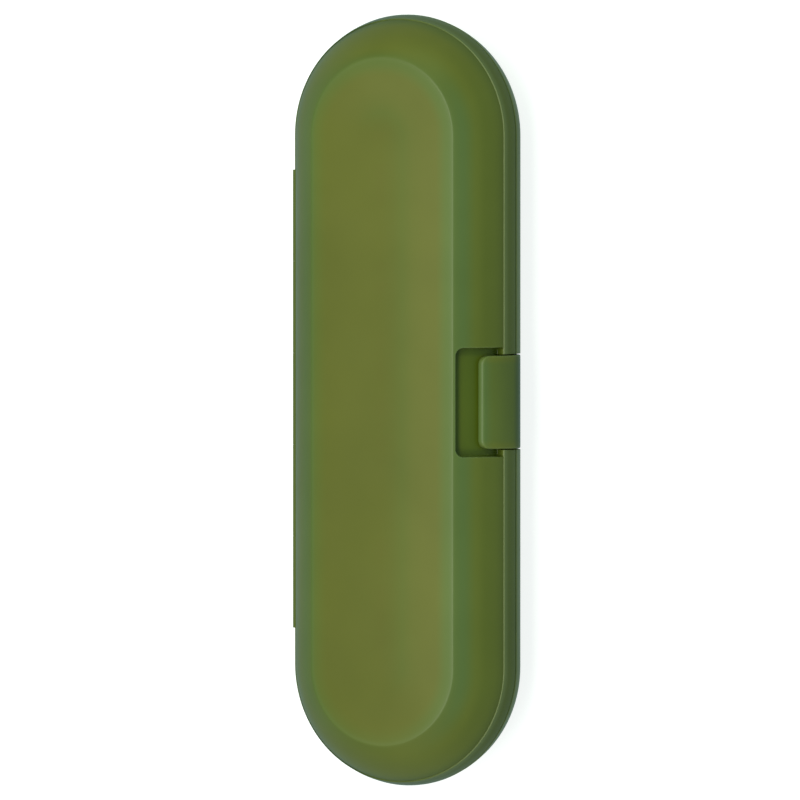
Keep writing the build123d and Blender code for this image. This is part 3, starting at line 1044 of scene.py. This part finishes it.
def trayRows():
    # places along Y where the tray's section is taken, close together at every end wall and corner
    t, half = trayShape, caseShape["halfStraight"]
    lip, draft, near = t["lipRound"], t["draft"], t["latchEase"][1]
    before = np.linspace(-lip - t["wall"], 0, t["lipRows"])
    wall = np.concatenate([before, draft * np.array(t["draftRows"]), np.linspace(*t["wallRows"])])
    ends = [np.linspace(-half, half, t["openRows"])]
    hollows = zip((handleHollow, headHollow), ((1,), (-1, 1)), t["taperRows"])
    for h, sides, count in hollows:
        start, stop = h["ends"]
        for side in sides:
            ends += [side * (start + wall), side * (stop - wall), side * np.linspace(*h["taper"], count)]
    for side in (-1, 1):
        ends += [side * np.linspace(t["latchHalf"] - near, t["latchHalf"] + near, t["cornerRows"])]
        turn = np.linspace(0, np.pi / 2, t["endRows"])
        ends += [side * (half + (t["edge"] - t["rimRound"]) * np.sin(turn))]
    y = np.unique(np.round(np.concatenate(ends), 7))
    return y[np.concatenate([[True], np.diff(y) > t["closest"]])]


def between(start, stop, count):
    # evenly spaced columns between two places of each row, the places themselves left out
    return start[:, None] + (stop - start)[:, None] * np.linspace(0, 1, count + 2)[1:-1]


def traySide(y, level, lip, grow, shrink):
    # columns of one face of the tray, from the hinge side to the latch side, and the deeper hollow's depth
    t, half = trayShape, caseShape["halfStraight"]
    edge = t["edge"] - shrink
    last = headHollow["ends"][1] + t["pastHeads"]
    held = np.clip(y, -last, last)
    past = [np.maximum(np.abs(place) - half, 0) for place in (y, held)]
    width, heldWidth = np.sqrt(np.maximum(edge**2 - np.square(past), 0))
    # past the hollows the columns draw together towards the tray's round end
    squeeze = np.where(np.abs(y) > last, width / heldWidth, 1)
    ease = t["latchEase"][0]
    cut = smooth(t["latchHalf"] + ease, t["latchHalf"] - ease, np.abs(y))
    right = heldWidth - (t["edge"] - t["latchSide"]) * cut
    hollows = ((handleHollow, held), (headHollow, np.abs(held)))
    handle, head = [h["x"] + hollowColumns(h, place, grow, level, lip) for h, place in hollows]
    outer, inner, side = t["flatColumns"]
    columns = [
        -heldWidth[:, None],
        between(-heldWidth, handle[:, 0], outer),
        handle,
        between(handle[:, -1], head[:, 0], inner),
        head,
        between(head[:, -1], right, side),
        right[:, None],
    ]
    x = np.concatenate(columns, axis=1)
    depths = [hollowDepth(h, np.abs(x - h["x"]), place[:, None], grow, level, lip) for h, place in hollows]
    return x * squeeze[:, None], np.maximum(*depths)


def makeTray(name, node, body, flip):
    # a closed section carried along Y: the face with the hollows, a rounded rim and the underside a wall away
    t = trayShape
    y = trayRows()
    curl = t["rimRound"]
    under = t["drop"] + t["wall"]
    faceX, faceZ = traySide(y, t["drop"], t["lipRound"], 0, curl)
    backX, backZ = traySide(y, under, t["backRound"], t["wall"], curl + t["edgeLean"])
    reach = np.clip(np.abs(faceX[:, [0, -1]]) / t["pointed"], 0, 1) * curl
    left, right = reach[:, :1], reach[:, 1:]
    bend = np.linspace(0, np.pi / 2, t["rimColumns"])[1:]
    out, back = np.sin(bend), np.sin(bend[::-1])
    whole = np.ones((len(y), 1))
    rimZ = (t["drop"] + curl * (1 - np.cos(bend))) * whole
    lowZ = (under - curl * (1 - np.cos(bend[::-1]))) * whole
    rightX = [faceX[:, -1:] + right * out, backX[:, -1:] + right * back]
    leftX = [backX[:, :1] - left * out, faceX[:, :1] - left * back]
    x = np.concatenate([faceX, *rightX, backX[:, ::-1], *leftX], axis=1)
    z = np.concatenate([faceZ, rimZ, lowZ, backZ[:, ::-1], lowZ[:, ::-1], rimZ[:, ::-1]], axis=1)
    grid = np.stack([x, y[:, None] + 0 * x, seamZ + flip * z], axis=-1)
    meshPiece(name, grid, "left", body, "tray_plastic", node)


padShape = {
    "radius": 14.3 * mm,
    "thickness": 1.0 * mm,
    "width": 12.0 * mm,
    "edge": 0.4 * mm,
    "backEdge": 0.15 * mm,
    "tipSquash": 0.98,
    "tipSteps": 6,
    "steps": 40,
    "places": (-40.0 * mm, 16.0 * mm),
    "level": 2.0 * mm,
}


def makePad(name, node, body, flip, place):
    # a strip's rounded section, in the radius and along Y, carried round the hollow and drawn in at both tips
    p = padShape
    edge, inner, half = p["edge"], p["radius"] - p["thickness"], p["width"] / 2
    start = np.arcsin(p["level"] / inner)
    ease = 1 - np.cos(np.linspace(0, np.pi / 2, p["tipSteps"]))
    tipTurn = edge / inner * ease
    middle = np.linspace(start, np.pi - start, p["steps"])[2:-2]
    turn = np.concatenate([start + tipTurn, middle, np.pi - start - tipTurn[::-1]])
    curl = edge * (1 - np.sqrt(1 - (1 - ease) ** 2))
    inset = np.concatenate([curl, 0 * middle, curl[::-1]])[:, None]
    along, radius = ringOutline(half, p["radius"], inner, p["backEdge"], edge).T
    middle = (p["radius"] + inner) / 2
    radius = middle + (radius - middle) * (1 - inset / (p["thickness"] / 2) * p["tipSquash"])
    along = along * (1 - inset / half)
    x = handleHollow["x"] + radius * np.cos(turn)[:, None]
    z = radius * np.sin(turn)[:, None]
    grid = np.stack([x, place + along, seamZ + flip * z], axis=-1)
    meshPiece(name, grid, "capped", body, "pad_rubber", node)


screwShape = {
    "x": 4.7 * mm,
    "places": (-84.0 * mm, 0.0, 84.0 * mm),
    "radius": 1.1 * mm,
    "length": 7.0 * mm,
    "headRadius": 2.0 * mm,
    "headHeight": 1.1 * mm,
    "headRound": 0.45 * mm,
    "roundSteps": 6,
    "columns": 72,
    "postColumns": 32,
    "domeFall": 0.12 * mm,
    "dome": (0, 1.5 * mm, 26),
    "sideFall": 0.07 * mm,
    "tip": (0.3 * mm, 0.8 * mm),
    "crossArm": 1.25 * mm,
    "crossHalf": 0.27 * mm,
    "crossDepth": 0.6 * mm,
    "crossFall": 0.5,
    "topShare": 0.6,
    "crossEase": (0.05 * mm, 0.12 * mm),
    "postRadius": 2.5 * mm,
    "holeRadius": 1.15 * mm,
    "postEdge": 0.15 * mm,
    "intoRoof": 0.2 * mm,
}


def turnedUp(name, outline, place, flip, count, body, slot, node, carve=None):
    # an outline of (radius, height from the seam) pairs turned about an upright line, with a depth carved in
    radius, height = np.array(outline).T
    x, y, z = rings(radius, height, count)
    if carve:
        z = z + carve(x, y, radius[:, None], height[:, None])
    grid = np.stack([x + screwShape["x"], y + place, seamZ + flip * z], axis=-1)
    meshPiece(name, grid, "left", body, slot, node)


def crossRecess(x, y, radius, height):
    # two crossed slots in the head's top, eased across and at their tips, deepest in the middle
    w = screwShape
    side, tip = w["crossEase"]
    slots = []
    for across, along in ((x, y), (y, x)):
        ends = smooth(w["crossArm"], w["crossArm"] - tip, np.abs(along))
        slots.append(smooth(w["crossHalf"] + side, w["crossHalf"] - side, np.abs(across)) * ends)
    fall = 1 - w["crossFall"] * radius / w["crossArm"]
    onTop = height < trayShape["drop"] - w["topShare"] * w["headHeight"]
    return np.maximum(*slots) * w["crossDepth"] * fall * onTop


def makeScrew(name, node, body, flip, place):
    # a head that falls as the square of the radius to a rounded edge, a plain shank and a blunt cone
    w = screwShape
    under, head, curl = trayShape["drop"], w["headRadius"], w["headRound"]
    top = under - w["headHeight"]
    out = np.linspace(*w["dome"])
    dome = top + w["domeFall"] * (out / head) ** 2
    turn = np.linspace(0, np.pi / 2, w["roundSteps"])[1:]
    side = zip(head - curl * (1 - np.sin(turn)), top + w["sideFall"] + curl * (1 - np.cos(turn)))
    tip = under + w["length"]
    blunt, cone = w["tip"]
    shank = [(head, under), (w["radius"], under), (w["radius"], tip - cone), (blunt, tip), (0, tip)]
    outline = [*zip(out, dome), *side, *shank]
    turnedUp(name, outline, place, flip, w["columns"], body, "screw_steel", node, crossRecess)


def makePost(name, node, body, flip, place):
    # the boss that a screw bites in, from under the tray to the roof
    w = screwShape
    foot = trayShape["drop"] + trayShape["wall"]
    roof = seamZ - caseShape["wall"] + w["intoRoof"]
    hole, outer, edge = w["holeRadius"], w["postRadius"], w["postEdge"]
    deep = foot + w["length"]
    outline = [(0, deep), (hole, deep), (hole, foot + edge), (hole + edge, foot)]
    outline += [(outer - edge, foot), (outer, foot + edge), (outer, roof), (0, roof)]
    turnedUp(name, outline, place, flip, w["postColumns"], body, "shell_plastic", node)


for side, body, flip in (("lid", "lid", 1), ("base", "base", -1)):
    makeTray(f"{side}_inner_tray", f"{side}_tray", body, flip)
    for k, place in enumerate(padShape["places"]):
        makePad(f"{side}_pad_{k + 1}", f"{side}_pads", body, flip, place)
    for k, place in enumerate(screwShape["places"]):
        makeScrew(f"{side}_screw_{k + 1}", f"{side}_screws", body, flip, place)
        makePost(f"{side}_post_{k + 1}", f"{side}_shell", body, flip, place)
print("trays, pads and screws made")


pinShape = {
    "radius": 0.8 * mm,
    "chamfer": 0.2 * mm,
    "columns": 32,
    "latchLength": 33.4 * mm,
}


def makePin(name, node, place, length):
    # a plain wire pin with chamfered ends
    half, r, c = length / 2, pinShape["radius"], pinShape["chamfer"]
    outline = [(-half, 0), (-half, r - c), (-half + c, r), (half - c, r), (half, r - c), (half, 0)]
    turned(name, outline, place, pinShape["columns"], "base", "pin_steel", node)


pivotX, pivotDrop = sidePoints([latchShape["pivotAngle"]], latchShape["barrel"] - latchShape["proud"])[0]
makePin("hinge_wire", "hinge_pin", (hingeX, 0, seamZ), hingeShape["length"])
makePin("latch_wire", "latch_pin", (pivotX, 0, seamZ - pivotDrop), pinShape["latchLength"])


studio = {
    "floorSize": 6.0,
    "floorColour": (0.33, 0.37, 0.36),
    "floorGlow": 0.82,
    "sky": (0.58, 0.86, 1.0),
    "skyStrength": 0.525,
    "lights": {  # place, size, colour and power
        "key": ((0, 0, 0.72), (0.36, 0.9), (1.0, 0.97, 0.8), 6.5),
        "back": ((0, 0.65, 0.4), (0.5, 0.4), (0.8, 1.0, 0.4), 1.0),
        "front": ((0, -0.65, 0.4), (0.5, 0.4), (1.0, 0.6, 0.4), 0.5),
    },
    "lean": 26.0,
    "tilt": 1.7,
    "viewHeight": 248.8 * mm,
    "lens": 800.0,
    "sensor": 36,
    "offset": (-2.33 * mm, 0.06 * mm),
}

floorMesh = bpy.data.meshes.new("floor")
half = studio["floorSize"] / 2
corners = [(-half, -half, 0), (half, -half, 0), (half, half, 0), (-half, half, 0)]
floorMesh.from_pydata(corners, [], [(0, 1, 2, 3)])
floor = bpy.data.objects.new("floor", floorMesh)
bpy.context.collection.objects.link(floor)
paper, _, paperShader = newMaterial("paper")
paperLook = {
    "Base Color": (*studio["floorColour"], 1),
    "Roughness": 0.9,
    "Specular IOR Level": 0.1,
    "Emission Color": (1, 1, 1, 1),
    "Emission Strength": studio["floorGlow"],
}
for socket, value in paperLook.items():
    paperShader[socket].default_value = value
floorMesh.materials.append(paper)
floor.visible_glossy = False  # no white floor mirrored in the rims

world = bpy.data.worlds.new("studio")
bpy.context.scene.world = world
world.use_nodes = True
sky = world.node_tree.nodes["Background"].inputs
sky["Color"].default_value = (*studio["sky"], 1)
sky["Strength"].default_value = studio["skyStrength"]

centre = Vector((0, 0, seamZ))


def areaLight(name, place, size, colour, power):
    # a soft lamp that faces the case and isn't seen
    light = bpy.data.lights.new(name, "AREA")
    light.shape = "RECTANGLE"
    light.size, light.size_y = size
    light.energy = power
    light.color = colour
    lamp = bpy.data.objects.new(name, light)
    bpy.context.collection.objects.link(lamp)
    lamp.location = place
    lamp.rotation_euler = (centre - Vector(place)).to_track_quat("-Z", "Y").to_euler()
    lamp.visible_camera = False


for name, values in studio["lights"].items():
    areaLight(name, *values)

lean, tilt = np.radians(studio["lean"]), np.radians(studio["tilt"])
across = Vector((np.cos(lean), 0, -np.sin(lean)))
level = Vector((np.sin(lean), 0, np.cos(lean)))
towards = level * np.cos(tilt) + Vector((0, np.sin(tilt), 0))
up = towards.cross(across)
cameraData = bpy.data.cameras.new("camera")
cameraData.sensor_width = studio["sensor"]
cameraData.lens = studio["lens"]
distance = studio["viewHeight"] * studio["lens"] / studio["sensor"]
camera = bpy.data.objects.new("camera", cameraData)
bpy.context.collection.objects.link(camera)
turn = Matrix((across, up, towards)).transposed()
place = centre + across * studio["offset"][0] + up * studio["offset"][1] + towards * distance
camera.matrix_world = Matrix.Translation(place) @ turn.to_4x4()
bpy.context.scene.camera = camera
bpy.context.scene.view_settings.view_transform = "Standard"
print("studio made")
